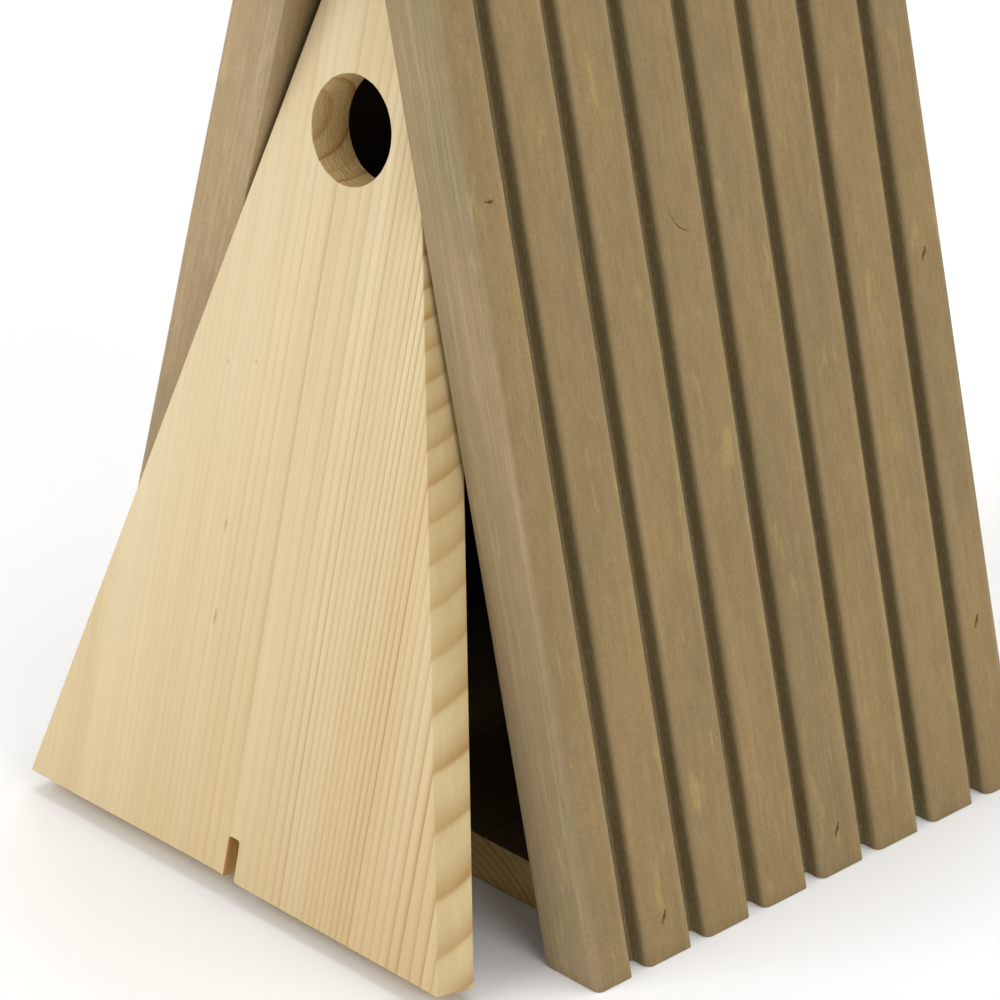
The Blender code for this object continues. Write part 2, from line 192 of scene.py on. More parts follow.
class Graph:
    """Builds one node material with short calls."""

    def __init__(self, name):
        self.material = bpy.data.materials.new(name)
        self.material.use_nodes = True
        self.tree = self.material.node_tree
        self.shader = self.tree.nodes["Principled BSDF"]

    def node(self, kind, **settings):
        made = self.tree.nodes.new(kind)
        for key, value in settings.items():
            setattr(made, key, value)
        return made

    def put(self, socket, value):
        if isinstance(value, bpy.types.NodeSocket):
            self.tree.links.new(value, socket)
        elif value is not None:
            socket.default_value = value

    def math(self, operation, a, b=None, c=None, clamp=False):
        made = self.node("ShaderNodeMath", operation=operation, use_clamp=clamp)
        for socket, value in zip(made.inputs, (a, b, c)):
            self.put(socket, value)
        return made.outputs[0]

    def times(self, a, b, clamp=False):
        return self.math("MULTIPLY", a, b, clamp=clamp)

    def vector(self, operation, a, b):
        made = self.node("ShaderNodeVectorMath", operation=operation)
        self.put(made.inputs[0], a)
        self.put(made.inputs[1], b)
        return made.outputs[0]

    def length(self, a):
        made = self.node("ShaderNodeVectorMath", operation="LENGTH")
        self.put(made.inputs[0], a)
        return made.outputs["Value"]

    def scaled(self, a, gain):
        made = self.node("ShaderNodeVectorMath", operation="SCALE")
        self.put(made.inputs[0], a)
        self.put(made.inputs["Scale"], gain)
        return made.outputs[0]

    def split(self, a):
        made = self.node("ShaderNodeSeparateXYZ")
        self.put(made.inputs[0], a)
        return made.outputs

    def mix(self, factor, a, b):
        made = self.node("ShaderNodeMix", data_type="RGBA")
        self.put(made.inputs[0], factor)
        self.put(made.inputs[6], a)
        self.put(made.inputs[7], b)
        return made.outputs[2]

    def noise(self, place, scale, detail=2.0, roughness=0.5, distortion=0.0):
        """Noise whose scale may differ along each axis."""
        made = self.node("ShaderNodeTexNoise")
        self.put(made.inputs["Vector"], self.vector("MULTIPLY", place, scale))
        made.inputs["Scale"].default_value = 1.0
        made.inputs["Detail"].default_value = detail
        made.inputs["Roughness"].default_value = roughness
        made.inputs["Distortion"].default_value = distortion
        return made.outputs["Fac"]

    def cells(self, place, scale):
        made = self.node("ShaderNodeTexVoronoi", feature="F1")
        self.put(made.inputs["Vector"], self.vector("MULTIPLY", place, scale))
        made.inputs["Scale"].default_value = 1.0
        return made.outputs

    def ramp(self, value, *stops):
        """A grey ramp; stops are (place, grey)."""
        made = self.node("ShaderNodeValToRGB")
        elements = made.color_ramp.elements
        while len(elements) < len(stops):
            elements.new(0.5)
        for element, (place, grey) in zip(elements, stops):
            element.position = place
            element.color = (grey, grey, grey, 1.0)
        self.put(made.inputs[0], value)
        return made.outputs[0]

    def spread(self, value, low, high, to_low=0.0, to_high=1.0):
        """Stretch a value's range, held at the ends."""
        made = self.node("ShaderNodeMapRange", clamp=True)
        for socket, each in zip(made.inputs, (value, low, high, to_low, to_high)):
            self.put(socket, each)
        return made.outputs[0]

    def attribute(self, name):
        return self.node("ShaderNodeAttribute", attribute_name=name).outputs["Fac"]

    def shaded(self, colour, value, amount):
        """Brighten and darken a colour by a value around one half."""
        gain = self.math("MULTIPLY_ADD", self.math("SUBTRACT", value, 0.5), amount, 1.0)
        return self.scaled(colour[:3] if isinstance(colour, tuple) else colour, gain)

    def bump(self, height, distance, strength, before=None):
        made = self.node("ShaderNodeBump")
        made.inputs["Strength"].default_value = strength
        made.inputs["Distance"].default_value = distance
        self.put(made.inputs["Height"], height)
        self.put(made.inputs["Normal"], before)
        return made.outputs[0]

    def wood_place(self, order, offset=(0.0, 0.0, 0.0)):
        """Object coordinates as (across, through, along the grain)."""
        place = self.node("ShaderNodeTexCoord").outputs["Object"]
        if order != "XYZ":
            parts = self.split(place)
            joined = self.node("ShaderNodeCombineXYZ")
            for socket, axis in zip(joined.inputs, order):
                self.put(socket, parts["XYZ".index(axis)])
            place = joined.outputs[0]
        return self.vector("ADD", place, offset)

    def rings(self, place, pith, width, wander, ragged, seed, crowd=None, late=0.24):
        """Growth rings round a pith line along the grain: (late-wood darkness, ring number noise)."""
        slow = self.node("ShaderNodeTexNoise")
        self.put(slow.inputs["Vector"], self.vector("MULTIPLY", place, (7.0, 7.0, 1.6)))
        slow.inputs["Scale"].default_value = 1.0
        slow.inputs["Detail"].default_value = 1.5
        drift = self.vector("MULTIPLY", self.vector("SUBTRACT", slow.outputs["Color"], (0.5, 0.5, 0.5)),
                            (wander * 2, wander * 2, 0.0))
        around = self.vector("SUBTRACT", self.vector("ADD", place, drift), (pith[0], pith[1], 0.0))
        away = self.length(self.vector("MULTIPLY", around, (1.0, 1.0, 0.0)))
        rough = self.math("SUBTRACT", self.noise(place, (60.0, 14.0, 4.0), 2.0), 0.5)
        count = self.times(away, 1.0 / width)
        if crowd:
            narrowest, period = crowd
            turn = self.times(self.math("SUBTRACT", away, narrowest), math.tau / period)
            swing = 0.35 * period / (math.tau * width)
            count = self.math("MULTIPLY_ADD", self.math("SINE", turn), swing, count)
        phase = self.math("MULTIPLY_ADD", rough, ragged, count)
        part = self.math("FRACT", phase)
        dark = self.ramp(part, (0.0, 0.12), (0.10, 0.0), (0.76 - late, 0.08), (1.0 - late, 0.42),
                         (0.91, 1.0), (1.0, 0.12))
        number = self.node("ShaderNodeTexWhiteNoise", noise_dimensions="1D")
        self.put(number.inputs["W"], self.math("ADD", self.math("FLOOR", phase), seed))
        return dark, number.outputs["Value"]

    def surface(self, colour, roughness, normal, specular=0.5, metallic=0.0):
        """Connect the shader and give the finished material."""
        self.put(self.shader.inputs["Base Color"], colour)
        self.put(self.shader.inputs["Roughness"], roughness)
        self.put(self.shader.inputs["Normal"], normal)
        self.shader.inputs["Specular IOR Level"].default_value = specular
        self.shader.inputs["Metallic"].default_value = metallic
        return self.material


# ---------------------------------------------------------------- wood materials

def pine(name, order, pith, ring, strength=1.25, left_plain=None, tint=(1.0, 1.0, 1.0), torn=0.0, seed=0.0,
         crowd=None, warm_foot=0.0, late=0.24, uneven=0.65, flecks=()):
    """Planed pine: cream early wood, tan ring lines, fine fibres and a few resin streaks."""
    g = Graph(name)
    shift = (seed * 0.37, seed * 0.11, seed * 0.73)
    place = g.wood_place(order, shift)
    pith = (pith[0] + shift[0], pith[1] + shift[1])
    dark, number = g.rings(place, pith, ring, wander=0.0022, ragged=0.7, seed=seed, crowd=crowd, late=late)
    pick = g.math("POWER", g.spread(number, 0.0, 1.0, 1.0 - uneven, 1.0), 1.3)
    lines = g.times(dark, pick)
    along = g.spread(g.noise(place, (40.0, 40.0, 5.0), 2.0), 0.30, 0.70, 0.55, 1.15)
    lines = g.times(lines, along)
    across, _, up = list(g.split(place))
    if left_plain is not None:
        plain_x, full_x, least = left_plain
        side = g.spread(across, plain_x + shift[0], full_x + shift[0], least, 1.0)
        lines = g.times(lines, side)
    lines = g.times(lines, strength, clamp=True)

    broad = g.noise(place, (28.0, 28.0, 2.2), 3.0, 0.55)
    band = g.noise(place, (130.0, 130.0, 3.5), 2.0, 0.5)
    fibre = g.noise(place, (620.0, 620.0, 11.0), 4.0, 0.62)
    hair = g.noise(place, (2600.0, 2600.0, 70.0), 2.0, 0.6)
    early = g.mix(g.spread(broad, 0.36, 0.66), srgb(236, 220, 184), srgb(230, 210, 168))
    early = g.mix(g.spread(band, 0.42, 0.72, 0.0, 0.45), early, srgb(219, 194, 146))
    if warm_foot:
        low = g.math("MULTIPLY_ADD", up, -1.6, across)
        low = g.spread(low, 0.10 - 1.6 * shift[2] + shift[0], 0.42 - 1.6 * shift[2] + shift[0])
        early = g.mix(g.times(low, warm_foot), early, srgb(208, 176, 122))
    colour = g.mix(lines, early, srgb(190, 150, 92))
    warm = g.spread(g.noise(place, (16.0, 16.0, 2.4), 2.0), 0.50, 0.72, 0.0, 0.45)
    colour = g.mix(g.times(warm, lines), colour, srgb(190, 138, 84))
    colour = g.shaded(colour, fibre, 0.16)
    colour = g.shaded(colour, hair, 0.10)

    fleck = g.spread(g.cells(place, (150.0, 150.0, 26.0))["Distance"], 0.045, 0.10, 1.0, 0.0)
    rare = g.spread(g.noise(place, (36.0, 36.0, 14.0), 1.0), 0.62, 0.66)
    fleck = g.times(fleck, rare)
    colour = g.mix(g.times(fleck, 0.75), colour, srgb(150, 108, 62))
    for x, z, wide, long in flecks:
        away = g.vector("SUBTRACT", place, (x, 0.0, z))
        away = g.length(g.vector("MULTIPLY", away, (1.0 / wide, 0.0, 1.0 / long)))
        reach = g.math("ADD", g.noise(place, (1700.0, 1700.0, 260.0), 2.0), away)
        colour = g.mix(g.spread(reach, 0.7, 1.6, 0.55, 0.0), colour, srgb(158, 122, 72))

    height = g.math("ADD", g.times(fibre, 0.45), g.times(hair, 0.35))
    height = g.math("MULTIPLY_ADD", lines, 0.25, height)
    normal = g.bump(height, 0.00012, 0.35)
    if torn:
        fuzz = g.noise(place, (900.0, 900.0, 260.0), 4.0, 0.7)
        cuts = g.noise(place, (60.0, 1400.0, 900.0), 2.0, 0.5)
        colour = g.shaded(colour, fuzz, 0.50 * torn)
        colour = g.shaded(colour, cuts, 0.20 * torn)
        normal = g.bump(g.math("ADD", fuzz, cuts), 0.0004 * torn, 0.7, normal)
    if tint != (1.0, 1.0, 1.0):
        colour = g.vector("MULTIPLY", colour, tint)
    roughness = g.spread(g.math("ADD", fibre, lines), 0.3, 1.3, 0.66, 0.52)
    return g.surface(colour, roughness, normal, specular=0.32)


def stained(name, pith, ring, seed, edge_gain=(1.07, 1.14, 1.34)):
    """Softwood under a thin grey-brown stain; the grooves are darkened by pooled stain and by painted shade,
    the arrises are lightened by wear and by a painted highlight, and the inner face is darkened as painted
    shade.
    """
    g = Graph(name)
    shift = (seed * 0.29, seed * 0.13, seed * 0.53)
    place = g.wood_place("YXZ", shift)
    pith = (pith[0] + shift[0], pith[1] + shift[1])
    dark, number = g.rings(place, pith, ring, wander=0.004, ragged=0.8, seed=seed)
    lines = g.times(dark, g.spread(number, 0.0, 1.0, 0.15, 1.0))
    lines = g.times(lines, g.spread(g.noise(place, (30.0, 30.0, 4.0), 2.0), 0.35, 0.65, 0.1, 1.0))

    fibre = g.noise(place, (760.0, 760.0, 14.0), 4.0, 0.68)
    hair = g.noise(place, (2400.0, 2400.0, 60.0), 3.0, 0.65)
    speck = g.noise(place, (1700.0, 1700.0, 1000.0), 3.0, 0.7)
    mottle = g.noise(place, (300.0, 300.0, 110.0), 3.0, 0.6)
    cloud = g.noise(place, (40.0, 40.0, 9.0), 3.0, 0.55)
    patch = g.noise(place, (95.0, 95.0, 17.0), 3.0, 0.55, 0.3)
    blotch = g.noise(place, (250.0, 250.0, 52.0), 2.0, 0.5, 0.5)
    worn = g.noise(place, (260.0, 260.0, 9.0), 3.0, 0.6)

    colour = g.mix(g.spread(cloud, 0.36, 0.64), srgb(147, 128, 90), srgb(159, 134, 92))
    colour = g.mix(g.spread(patch, 0.52, 0.70, 0.0, 0.40), colour, srgb(162, 131, 96))
    colour = g.mix(g.spread(patch, 0.48, 0.32, 0.0, 0.26), colour, srgb(141, 121, 86))
    colour = g.mix(g.spread(blotch, 0.62, 0.76, 0.0, 0.48), colour, srgb(184, 160, 100))
    colour = g.mix(g.times(lines, 0.22), colour, srgb(126, 102, 66))
    colour = g.mix(g.spread(worn, 0.60, 0.76, 0.0, 0.26), colour, srgb(186, 163, 124))
    colour = g.shaded(colour, fibre, 0.20)
    colour = g.shaded(colour, hair, 0.22)
    colour = g.shaded(colour, mottle, 0.30)
    colour = g.shaded(colour, speck, 0.60)

    fuzz = g.noise(place, (1300.0, 1300.0, 420.0), 3.0, 0.7)
    groove = g.math("ADD", g.attribute("groove"), g.times(g.math("SUBTRACT", fuzz, 0.5), 1.9))
    groove = g.spread(groove, 0.22, 0.82)
    edge_face = g.attribute("edge_face")
    pale = g.vector("MULTIPLY", colour, edge_gain)
    streak = g.noise(place, (240.0, 900.0, 14.0), 3.0, 0.65)
    pale = g.mix(g.spread(streak, 0.52, 0.68, 0.0, 0.42), pale, srgb(192, 168, 132))
    pale = g.mix(g.spread(streak, 0.46, 0.32, 0.0, 0.26), pale, srgb(146, 126, 94))
    colour = g.mix(edge_face, colour, pale)
    # Darken the grooves: partly pooled stain, partly painted shade where the grooves lie in shadow.
    deep = g.times(groove, g.spread(cloud, 0.3, 0.7, 1.0, 0.85))
    reddish = g.spread(g.noise(place, (70.0, 70.0, 14.0), 2.0), 0.58, 0.70, 0.0, 0.7)
    groove_stain_and_shade = g.mix(reddish, srgb(120, 109, 77), srgb(134, 94, 64))
    colour = g.mix(g.times(deep, 0.70), colour, groove_stain_and_shade)
    # Lighten the arrises: partly wear, partly a painted highlight along the rounded edges.
    edge = g.times(g.attribute("arris"), g.spread(worn, 0.30, 0.60, 0.15, 1.0))
    colour = g.mix(g.times(edge, 0.34), colour, srgb(186, 162, 118))
    ends = g.attribute("ends")
    colour = g.mix(g.times(ends, 0.45), colour, srgb(112, 92, 60))

    dust = g.times(groove, g.spread(fuzz, 0.54, 0.66))
    colour = g.mix(g.times(dust, 0.70), colour, srgb(158, 146, 120))
    # Inner face darkened as painted shade of the hollow inside.
    colour = g.scaled(colour, g.math("MULTIPLY_ADD", g.attribute("inside"), -0.74, 1.0))

    height = g.math("ADD", g.times(fibre, 0.6), g.times(hair, 0.4))
    height = g.math("MULTIPLY_ADD", lines, 0.3, height)
    height = g.math("ADD", height, g.times(g.times(fuzz, groove), 1.4))
    roughness = g.spread(fibre, 0.3, 0.7, 0.88, 0.76)
    return g.surface(colour, roughness, g.bump(height, 0.00018, 0.5), specular=0.20)


def torn_wood(name):
    """The dark, broken wood inside nail marks and splits."""
    g = Graph(name)
    place = g.node("ShaderNodeTexCoord").outputs["Object"]
    rough = g.noise(place, (1900.0, 1900.0, 500.0), 4.0, 0.7)
    colour = g.mix(g.spread(rough, 0.35, 0.68), srgb(118, 82, 48), srgb(168, 128, 80))
    roughness = g.spread(rough, 0.3, 0.7, 0.95, 0.85)
    return g.surface(colour, roughness, g.bump(rough, 0.0003, 0.6), specular=0.1)


def metal(name, colour, roughness, spangle, rust=0.0):
    """Plated or bright steel with fine drawing marks, spangle and a little tarnish."""
    g = Graph(name)
    place = g.node("ShaderNodeTexCoord").outputs["Object"]
    grain = g.noise(place, (1800.0, 1800.0, 300.0), 3.0, 0.6)
    stain = g.noise(place, (210.0, 210.0, 210.0), 3.0, 0.6)
    base = g.shaded(colour, g.cells(place, (620.0, 620.0, 620.0))["Color"], spangle)
    base = g.shaded(base, grain, 0.12)
    base = g.mix(g.spread(stain, 0.58, 0.74, 0.0, 0.35 + rust), base, srgb(112, 88, 62))
    wear = g.spread(g.math("ADD", grain, stain), 0.7, 1.3, roughness, roughness + 0.2)
    return g.surface(base, wear, g.bump(grain, 0.00003, 0.4), metallic=1.0)


# ---------------------------------------------------------------- roof boards

def quarter(centre_y, centre_h, radius, start, steps=5, stretch=1.0):
    """Points round a quarter circle, or a wider quarter ellipse, clockwise from an angle in degrees."""
    points = []
    for i in range(steps + 1):
        angle = math.radians(start - 90.0 * i / steps)
        points.append((centre_y + radius * stretch * math.cos(angle), centre_h + radius * math.sin(angle)))
    return points


def uneven_edge(seed, z):
    """How far the side of a groove strays from straight."""
    return 0.00013 * wave(seed, z * 26.0) + 0.00005 * wave(seed + 30, z * 160.0)


def board_section(z, seed):
    """The section at one place along the grain: (y, height) points, clockwise from the inner front corner."""
    ease = 0.0007
    points = [(ease, 0.0), (ease * 0.3, ease * 0.3), (0.0, ease)]
    for index, (start, end) in enumerate(RIBS):
        first, last = index == 0, index == len(RIBS) - 1
        if not first:
            start += uneven_edge(seed + index, z)
        if not last:
            end += uneven_edge(seed + 50 + index, z)
        top = BOARD_THICK - 0.00008 + 0.00006 * wave(seed + 110 + index, z * 14.0)
        front = 0.0023 + 0.0003 * wave(seed + 140 + index, z * 20.0)
        if last:
            worn = 0.9 * smooth(0.10, 0.25, z) + 0.5 * (1 - smooth(0.0, 0.05, z))
        else:
            worn = 0.1 * wave(seed + 300 + index, z * 9.0)
        back = 0.0008 + 0.00015 * wave(seed + 170 + index, z * 20.0)
        if first:
            points += [(0.0, h) for h in (0.005, 0.010, GROOVE_FLOOR)]
        else:
            points += [(start - 0.0006, GROOVE_FLOOR), (start - 0.00018, GROOVE_FLOOR + 0.00018),
                       (start, GROOVE_FLOOR + 0.0006)]
        points.append((start, MITRE_H))
        points.append((start, SHOULDER))
        stretch = 1.05 + worn
        points += quarter(start + front * stretch, top - front, front, 180.0, stretch=stretch)
        inner_low, inner_high = start + front * stretch, end - back
        for i in range(1, 6):
            y = inner_low + (inner_high - inner_low) * i / 6
            points.append((y, top + 0.00005 * wave(seed + 200 + index, y * 300.0, z * 18.0)))
        points += quarter(end - back, top - back, back, 90.0)
        points.append((end, SHOULDER))
        points.append((end, MITRE_H))
        if last:
            points += [(end, h) for h in (GROOVE_FLOOR, 0.010, 0.005)]
        else:
            points += [(end, GROOVE_FLOOR + 0.0006), (end + 0.00018, GROOVE_FLOOR + 0.00018),
                       (end + 0.0006, GROOVE_FLOOR)]
            following = RIBS[index + 1][0]
            for i in (1, 2):
                y = end + (following - end) * i / 3
                points.append((y, GROOVE_FLOOR + 0.00010 * wave(seed + 230 + index, y * 500.0, z * 60.0)))
    points += [(DEPTH, ease), (DEPTH - ease * 0.3, ease * 0.3), (DEPTH - ease, 0.0)]
    points += [(DEPTH * i / 24, 0.0) for i in range(23, 0, -1)]
    return points


def inset(points, amount):
    """Move a closed outline's points inwards along their normals."""
    moved = []
    for i, (y, h) in enumerate(points):
        y0, h0 = points[i - 1]
        y1, h1 = points[(i + 1) % len(points)]
        a, b = Vector((y - y0, h - h0)), Vector((y1 - y, h1 - h))
        direction = a.normalized() + b.normalized() if a.length > 1e-9 and b.length > 1e-9 else a + b
        normal = Vector((direction.y, -direction.x)).normalized()
        moved.append((y + normal.x * amount, h + normal.y * amount))
    return moved


def board_ends(h):
    """Where the foot and the ridge cut this height of the board, along its slope."""
    foot = -h * LEAN_TAN
    mitre = (FOOT_X + h * LEAN_COS - RIDGE_GAP / 2) / LEAN_SIN
    trim = (RIDGE_TOP_Z - h * LEAN_SIN) / LEAN_COS
    return foot, min(mitre, trim)


def pit(at, inwards, along, seed, length, width=0.00055, depth=0.00066):
    """The torn slit that a sunk nail head leaves, as a cutting tool."""
    bm = bmesh.new()
    bmesh.ops.create_uvsphere(bm, u_segments=28, v_segments=14, radius=1.0)
    for v in bm.verts:
        ragged = 1.0 + 0.22 * wave(seed, v.co.x * 3.1, v.co.y * 0.8, v.co.z)
        ragged += 0.10 * wave(seed + 5, v.co.x * 9.0, v.co.y * 1.5, v.co.z * 2)
        bend = 0.00018 * math.sin(v.co.y * 3.0)
        v.co = Vector((v.co.x * width * ragged + bend, v.co.y * length * ragged, v.co.z * depth))
    out = -inwards.normalized()
    along = (along - along.dot(out) * out).normalized()
    turn = Matrix((along.cross(out), along, out)).transposed().to_4x4()
    bmesh.ops.transform(bm, matrix=Matrix.Translation(at) @ turn, verts=bm.verts)
    return bm


def splinter(bm, at, out, along, length, width, lift, seed):
    """A thin torn fibre: fixed in the wood at one end and lifted at its tip."""
    across = along.cross(out).normalized()
    rings = []
    for i in range(6):
        t = i / 5
        half = width * (1 - t) ** 0.7 * 0.5 + 0.00002
        centre = at + along * length * t + out * (lift * t * t - 0.00012 * (1 - t))
        centre += across * 0.0002 * wave(seed, t * 3.0)
        rings.append([centre + across * x + out * y
                      for x, y in ((-half, 0.0), (0.0, half * 0.8), (half, 0.0), (0.0, -half * 0.8))])
    solid(bm, rings)


def nail_heads(side):
    """(node, head centre, inward direction) for each nail that goes in through one roof board."""
    name = "right" if side > 0 else "left"
    nodes = [f"floor_brad_{name}_1", f"floor_brad_{name}_2", f"pivot_nail_{name}"]
    nodes += [f"back_brad_{name}_{i}" for i in (1, 2, 3)]
    if side < 0:
        nodes += [f"ridge_brad_{i}" for i in (1, 2, 3)]
    found = []
    for node in nodes:
        low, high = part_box(node)
        square = not node.startswith(("pivot", "ridge"))
        lean = LEAN if square else 0.0
        x = high.x - NAIL_HEAD * math.sin(lean) if side > 0 else low.x + NAIL_HEAD * math.sin(lean)
        at = Vector((x, (low.y + high.y) / 2, high.z - NAIL_HEAD * math.cos(lean)))
        found.append((node, at, Vector((-side * math.cos(lean), 0.0, -math.sin(lean)))))
    return found


def to_surface(at, inwards, side):
    """From a sunk nail head, back along the nail to the roof's outer face."""
    normal = Vector((side * LEAN_COS, 0.0, LEAN_SIN))
    face = Vector((side * (FOOT_X + BOARD_THICK / LEAN_COS), 0.0, 0.0))
    distance = (face - at).dot(normal) / (-inwards).dot(normal)
    return at - inwards * distance


def mark_direction(node, side):
    """Which way a nail's oblong head lies: across the grain at the pivots, nearly along it elsewhere."""
    grain = Vector((-side * LEAN_SIN, 0.0, LEAN_COS))
    if node.startswith("pivot"):
        return (Vector((0, 1, 0)) - 0.15 * grain).normalized()
    return (grain + 0.45 * Vector((0, 1, 0))).normalized()


def merge_into(tools, made):
    mesh = bpy.data.meshes.new("part")
    made.to_mesh(mesh)
    made.free()
    tools.from_mesh(mesh)
    bpy.data.meshes.remove(mesh)


def roof_board(side, materials, crack=False):
    name = "right" if side > 0 else "left"
    seed = 3 if side > 0 else 411
    rough_end = 0.00045
    ends = eased(rough_end, 0, 30, 60, 90)
    steps = 118
    rings = []
    length = 0.43                    # a little more than the slope's, only for where the wear lies
    spots = [(d, 0.0, i) for d, i in ends] + [(rough_end, t / steps, 0.0) for t in range(1, steps)]
    spots += [(rough_end, 1.0, 0.0)] + [(d, 1.0, i) for d, i in reversed(ends[:-1])]
    for offset, t, shrink in spots:
        section = board_section(length * t, seed)
        ring = []
        for y, h in inset(section, shrink) if shrink else section:
            low, high = board_ends(h)
            if t == 0.0:
                z = low + offset
            elif t == 1.0:
                z = high - offset
            else:
                z = low + rough_end + (high - low - 2 * rough_end) * t
            ring.append(Vector((side * h, y, z)))
        rings.append(ring)
    bm = bmesh.new()
    rows = tube(bm, rings)
    caps = [bm.faces.new(rows[0][::-1])]
    top = rows[-1]
    marks = [i for i, (y, h) in enumerate(board_section(length, seed)) if abs(h - MITRE_H) < 1e-9]
    mitre = []
    i = 0
    while i < len(top):
        mitre.append(top[i])
        if i in marks[0::2]:
            i = marks[marks.index(i) + 1]
        else:
            i += 1
    caps.append(bm.faces.new(mitre))
    for a, b in zip(marks[0::2], marks[1::2]):
        caps.append(bm.faces.new(top[a:b + 1]))
    bmesh.ops.triangulate(bm, faces=caps, ngon_method="BEAUTY")
    board = link(f"roof_board_{name}_finished", bm)
    lean = Euler((0.0, -side * LEAN, 0.0)).to_matrix().to_4x4()
    board.matrix_world = Matrix.Translation((side * FOOT_X, FRONT_Y, 0.0)) @ lean
    bpy.context.view_layer.update()
    to_local = board.matrix_world.inverted()

    out_world = Vector((side * LEAN_COS, 0.0, LEAN_SIN))
    tools, fibres = bmesh.new(), bmesh.new()
    for index, (node, at, inwards) in enumerate(nail_heads(side)):
        surface = to_surface(at, inwards, side)
        along = mark_direction(node, side)
        sideways = along.cross(out_world)
        short = 0.7 if node.startswith("pivot") else 1.0
        slit = pit(surface - out_world * 0.0001, -out_world, along, seed + index * 7, 0.0024 * short)
        merge_into(tools, slit)
        for k in range(2):
            end = -1 if k else 1
            start = surface + along * 0.0016 * short * end + sideways * 0.0003 * end
            splinter(fibres, start, out_world, -along * end, 0.0009 + 0.0003 * k, 0.0003, 0.00028,
                     seed + index + k)
    if crack:
        merge_into(tools, crack_tool())
    for made in materials:
        board.data.materials.append(made)
    tool = link("pits", tools)
    for made in materials:
        tool.data.materials.append(made)
    for face in tool.data.polygons:
        face.material_index = 1
    subtract(board, tool)

    fibres.transform(to_local)
    bmesh.ops.recalc_face_normals(fibres, faces=fibres.faces)
    joined = bmesh.new()
    joined.from_mesh(board.data)
    merge_into(joined, fibres)
    joined.to_mesh(board.data)
    joined.free()
    board.data.polygons.foreach_set("use_smooth", [True] * len(board.data.polygons))
    sharpen(board)
    paint_board(board, side)
    finish_piece(board, "root", f"roof_board_{name}")


def crack_tool():
    """A fine curved split beside a hidden knot on the right board's fourth rib, as a cutting tool."""
    out = Vector((LEAN_COS, 0.0, LEAN_SIN))
    grain = Vector((-LEAN_SIN, 0.0, LEAN_COS))
    face = Vector((FOOT_X, FRONT_Y, 0.0)) + out * BOARD_THICK
    start, turn, end = (0.0733, 0.2150), (0.0728, 0.2020), (0.0818, 0.1992)    # across, along the board
    rings = []
    count = 24
    for i in range(count + 1):
        t = i / count
        a, b, c = (1 - t) ** 2, 2 * t * (1 - t), t * t
        y, along = (a * p + b * q + c * r for p, q, r in zip(start, turn, end))
        dy, dalong = (2 * (1 - t) * (q - p) + 2 * t * (r - q) for p, q, r in zip(start, turn, end))
        tangent = (Vector((0, dy, 0)) + grain * dalong).normalized()
        sideways = tangent.cross(out)
        stray = 0.00022 * wave(5, t * 7.0) + 0.00010 * wave(9, t * 29.0)
        middle = face + Vector((0, y, 0)) + grain * along + sideways * stray
        fade = smooth(0.0, 0.65, t) * (1 - smooth(0.86, 1.0, t))
        half = (0.00005 + 0.00014 * fade) * (1.0 + 0.45 * wave(13, t * 17.0))
        deep = 0.00010 + 0.00030 * fade
        rings.append([middle + sideways * half * 1.8 + out * 0.0004,
                      middle - sideways * half * 1.8 + out * 0.0004,
                      middle - out * deep])
    bm = bmesh.new()
    solid(bm, rings)
    bmesh.ops.recalc_face_normals(bm, faces=bm.faces)
    return bm


def paint_board(board, side):
    """Store how far each point is in a groove, on an arris, at a sawn end, on an edge face or inside; the
    stain uses the groove value for pooled stain and painted shade, the arris value for wear and a painted
    highlight, and the inside value for painted shade.
    """
    mesh = board.data
    groove, arris, ends, edge_face, inside = [], [], [], [], []
    for v in mesh.vertices:
        h, y, z = v.co.x * side, v.co.y, v.co.z
        in_board = 0.0008 < y < DEPTH - 0.0008
        near = min(min(abs(y - a), abs(y - b)) for a, b in RIBS)
        front_arris = any(a - 0.0005 < y < a + 0.0045 for a, b in RIBS)
        fade_from, fade_to = (0.0190, 0.02085) if front_arris else (0.0182, 0.0203)
        # How deep in a groove: darkens the stain as pooled stain and painted shade.
        groove.append(1.0 - smooth(fade_from, fade_to, h) if in_board and h > 0.002 else 0.0)
        outer = min(y, DEPTH - y)
        # On an arris: lightens the stain for wear and as a painted highlight.
        on_arris = (1.0 - smooth(0.0004, 0.0022, near)) * smooth(0.0180, 0.0195, h)
        arris.append(on_arris * smooth(0.002, 0.006, outer))
        foot, ridge = board_ends(h)
        ends.append(1.0 - smooth(0.0, 0.0007, min(z - foot, ridge - z)))
        edge_face.append(1.0 - smooth(0.0002, 0.0022, outer))
        # On the inner face: darkens the stain as painted shade.
        inside.append(smooth(0.004, 0.020, outer) * (1.0 if h < 0.0007 else 0.0))
    painted = {"groove": groove, "arris": arris, "ends": ends, "edge_face": edge_face, "inside": inside}
    for name, values in painted.items():
        layer = mesh.attributes.new(name, "FLOAT", "POINT")
        layer.data.foreach_set("value", values)


# ---------------------------------------------------------------- flat boards

def rounded_outline(corners, radius, steps=3, spacing=0.012):
    """A convex outline with small round corners and points along its sides."""
    points = []
    count = len(corners)
    for i, corner in enumerate(corners):
        here = Vector(corner)
        before, after = Vector(corners[i - 1]), Vector(corners[(i + 1) % count])
        a, b = (before - here).normalized(), (after - here).normalized()
        half = a.angle(b) / 2
        trim = radius / math.tan(half)
        centre = here + (a + b).normalized() * (radius / math.sin(half))
        start, end = here + a * trim - centre, here + b * trim - centre
        for k in range(steps + 1):
            points.append(centre + start.normalized().slerp(end.normalized(), k / steps) * radius)
        stretch = (after + (here - after).normalized() * radius / math.tan(half)) - (centre + end)
        parts = max(1, round(stretch.length / spacing))
        points += [centre + end + stretch * (k / parts) for k in range(1, parts)]
    return points


